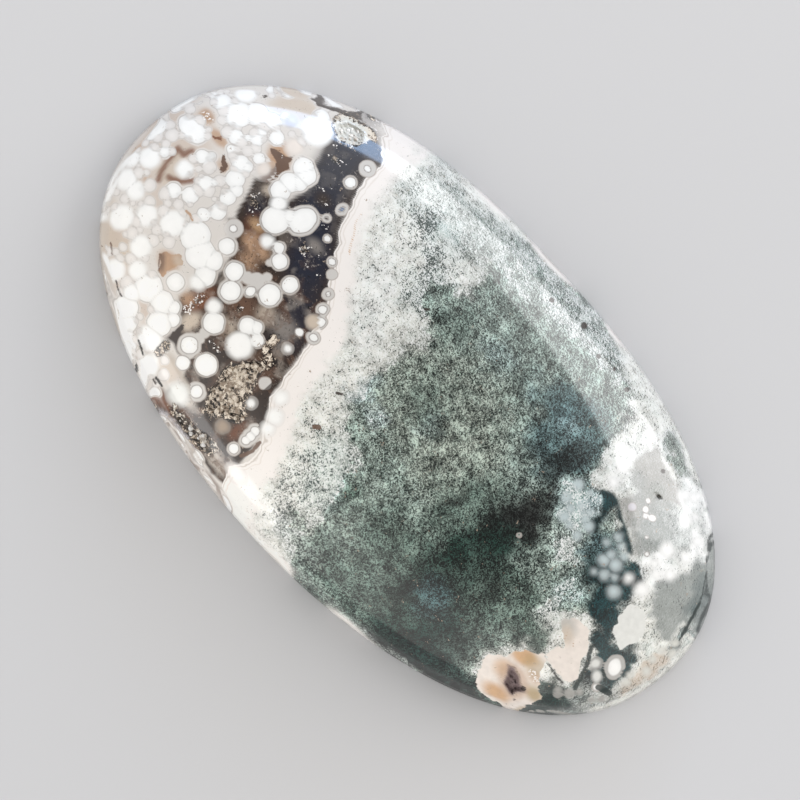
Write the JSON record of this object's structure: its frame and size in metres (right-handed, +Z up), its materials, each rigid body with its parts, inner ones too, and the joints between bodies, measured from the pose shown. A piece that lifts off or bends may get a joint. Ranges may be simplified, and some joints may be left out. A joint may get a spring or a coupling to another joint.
{
  "type": "moss agate cabochon",
  "caption": "Oval stone cabochon for a jewellery setting, with a domed polished face, a flat back and shallow crystal-lined hollows.",
  "frame": {"origin": "middle of the flat back, under the middle of the oval", "axes": "+X along the oval towards the grey chalcedony end, +Z up through the dome"},
  "size_m": [0.045, 0.0242, 0.006],
  "materials": {
    "polished_agate": "polished"
  },
  "bodies": {
    "root": {"cabochon": "polished_agate"}
  },
  "joints": []
}
